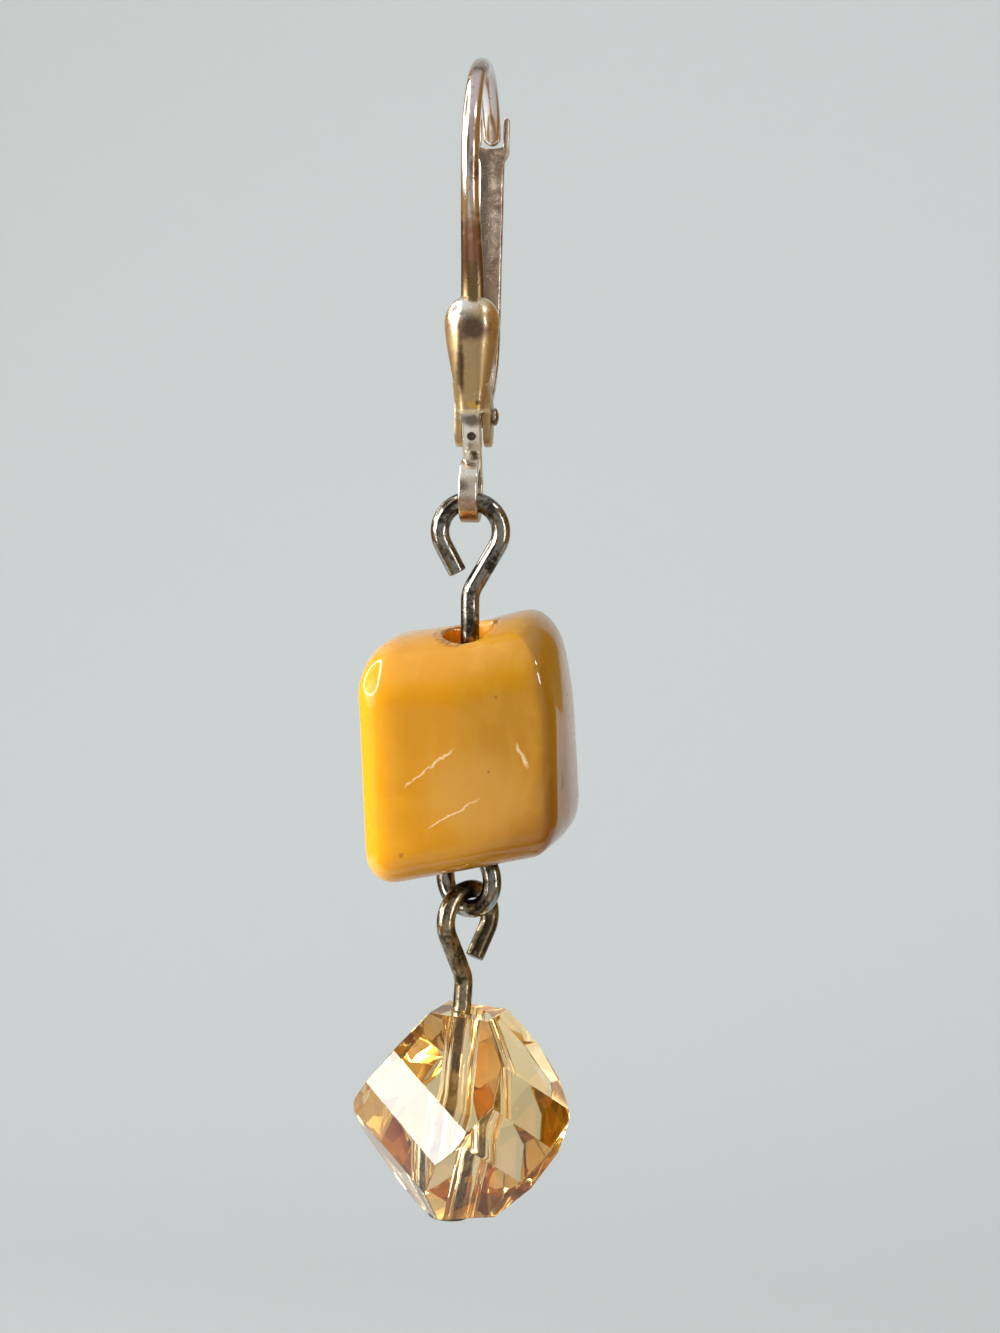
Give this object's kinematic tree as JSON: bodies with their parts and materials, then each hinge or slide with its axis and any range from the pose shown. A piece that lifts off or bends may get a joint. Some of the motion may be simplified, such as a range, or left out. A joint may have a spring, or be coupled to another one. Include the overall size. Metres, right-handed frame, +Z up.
{
  "type": "leverback earring",
  "caption": "Leverback drop earring with a hinged back lever, a butterscotch amber bead on a double-eyed pin and a facetted crystal on a head pin.",
  "frame": {"origin": "on the ear wire's axis at the top of its arch, where the earring hangs", "axes": "+Z up, -Y towards the front of the shell, +X to the right as seen from the front"},
  "size_m": [0.0084, 0.0111, 0.0438],
  "materials": {
    "tarnished_silver": "worn, tarnished silver",
    "rivet_metal": "worn, dark",
    "lever_silver": "tarnished silver strip",
    "dark_wire": "bright-drawn dark steel wire",
    "amber": "polished, slightly scratched butterscotch amber",
    "bronze_wire": "dark, worn wire",
    "champagne_glass": "clear, facetted, golden"
  },
  "bodies": {
    "hook": {"ear_hook": "tarnished_silver", "hinge_rivet": "rivet_metal"},
    "lever": {"lever": "lever_silver"},
    "upper_drop": {"eye_pin": "dark_wire"},
    "amber": {"amber_bead": "amber"},
    "lower_drop": {"head_pin": "bronze_wire"},
    "crystal": {"crystal_bead": "champagne_glass"}
  },
  "joints": [
    {"name": "lever_hinge", "type": "hinge", "parent": "hook", "child": "lever", "pos_m": [0, -0.00185, -0.01293], "axis": [-1, 0, 0], "range_deg": [0, 60]},
    {"name": "upper_swing", "type": "hinge", "parent": "hook", "child": "upper_drop", "pos_m": [0, -0.00295, -0.01597], "axis": [1, 0, 0], "range_deg": [-60, 60]},
    {"name": "amber_spin", "type": "hinge", "parent": "upper_drop", "child": "amber", "pos_m": [0, -0.00295, -0.02518], "axis": [0, 0, 1], "continuous": true},
    {"name": "lower_swing", "type": "hinge", "parent": "upper_drop", "child": "lower_drop", "pos_m": [0, -0.00295, -0.0314], "axis": [0.8387, -0.5446, 0], "range_deg": [-60, 60]},
    {"name": "crystal_spin", "type": "hinge", "parent": "lower_drop", "child": "crystal", "pos_m": [0.00025, -0.00295, -0.03142], "axis": [0.061, 0, 0.9981], "continuous": true}
  ]
}
